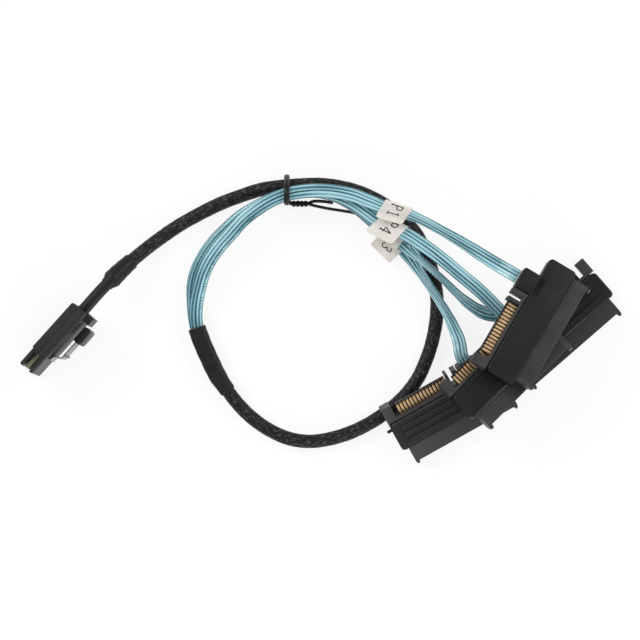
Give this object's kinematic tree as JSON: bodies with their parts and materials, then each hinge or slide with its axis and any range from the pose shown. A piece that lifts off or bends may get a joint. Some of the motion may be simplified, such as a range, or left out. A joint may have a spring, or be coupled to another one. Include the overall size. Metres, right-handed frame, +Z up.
{
  "type": "mini SAS breakout cable",
  "caption": "Internal breakout cable: a latched controller plug, a braided cable laid in a loop, and labelled flat ribbons that fan out to moulded drive connectors with power plugs.",
  "frame": {"origin": "on the table, under the middle of the box round the plug and the four drive connectors", "axes": "+X from the controller plug to the drive connectors, +Y away from the viewer of the top view, +Z up from the table"},
  "size_m": [0.2041, 0.0987, 0.0284],
  "materials": {
    "plug_moulding": "fine-textured dark grey moulding",
    "pad_moulding": "black moulding with a soft sheen",
    "spring_steel": "bright rolled spring steel",
    "board_laminate": "green glass laminate with a beige cut edge",
    "hot_melt": "poured dark adhesive",
    "shrink_tube": "shrunk black tubing, slightly wrinkled",
    "braid": "woven black monofilament with grey glints",
    "teal_jacket": "glossy light teal extruded jacket",
    "label_film": "off-white printed film",
    "tie_plastic": "black coated wire",
    "black_moulding": "satin black moulding with shallow ridges",
    "grey_housing": "dark grey glass-filled plastic",
    "gold_contact": "gold-flashed contacts"
  },
  "bodies": {
    "cable": {"plug_back_shell": "plug_moulding", "plug_latch_shell": "plug_moulding", "paddle_card": "board_laminate", "solder_block": "hot_melt", "wire_neck": "shrink_tube", "plug_boot": "shrink_tube", "braided_sleeve": "braid", "splitter": "shrink_tube", "twist_tie": "tie_plastic", "ribbon_P1_left": "teal_jacket", "ribbon_P1_right": "teal_jacket", "ribbon_P2_left": "teal_jacket", "ribbon_P2_right": "teal_jacket", "ribbon_P3_left": "teal_jacket", "ribbon_P3_right": "teal_jacket", "ribbon_P4_left": "teal_jacket", "ribbon_P4_right": "teal_jacket", "label_P1": "label_film", "label_P2": "label_film", "label_P3": "label_film", "label_P4": "label_film", "overmould_A": "black_moulding", "overmould_B": "black_moulding", "overmould_C": "black_moulding", "overmould_D": "black_moulding", "drive_housing_A": "grey_housing", "drive_housing_B": "grey_housing", "drive_housing_C": "grey_housing", "drive_housing_D": "grey_housing", "drive_contacts_A": "gold_contact", "drive_contacts_B": "gold_contact", "drive_contacts_C": "gold_contact", "drive_contacts_D": "gold_contact", "power_housing_A": "grey_housing", "power_housing_B": "grey_housing", "power_housing_C": "grey_housing", "power_housing_D": "grey_housing", "power_tongue_A": "gold_contact", "power_tongue_B": "gold_contact", "power_tongue_C": "gold_contact", "power_tongue_D": "gold_contact", "adapter_board_A": "board_laminate", "adapter_board_B": "board_laminate", "adapter_board_C": "board_laminate", "adapter_board_D": "board_laminate"},
    "latch": {"latch_leaf": "spring_steel", "release_pad": "pad_moulding"}
  },
  "joints": [
    {"name": "latch_press", "type": "hinge", "parent": "cable", "child": "latch", "pos_m": [-0.09181, -0.00007, 0.0114], "axis": [-0.0712, 0.0641, 0.9954], "range_deg": [0, 3.5], "stiffness_Nm_per_rad": 1}
  ]
}
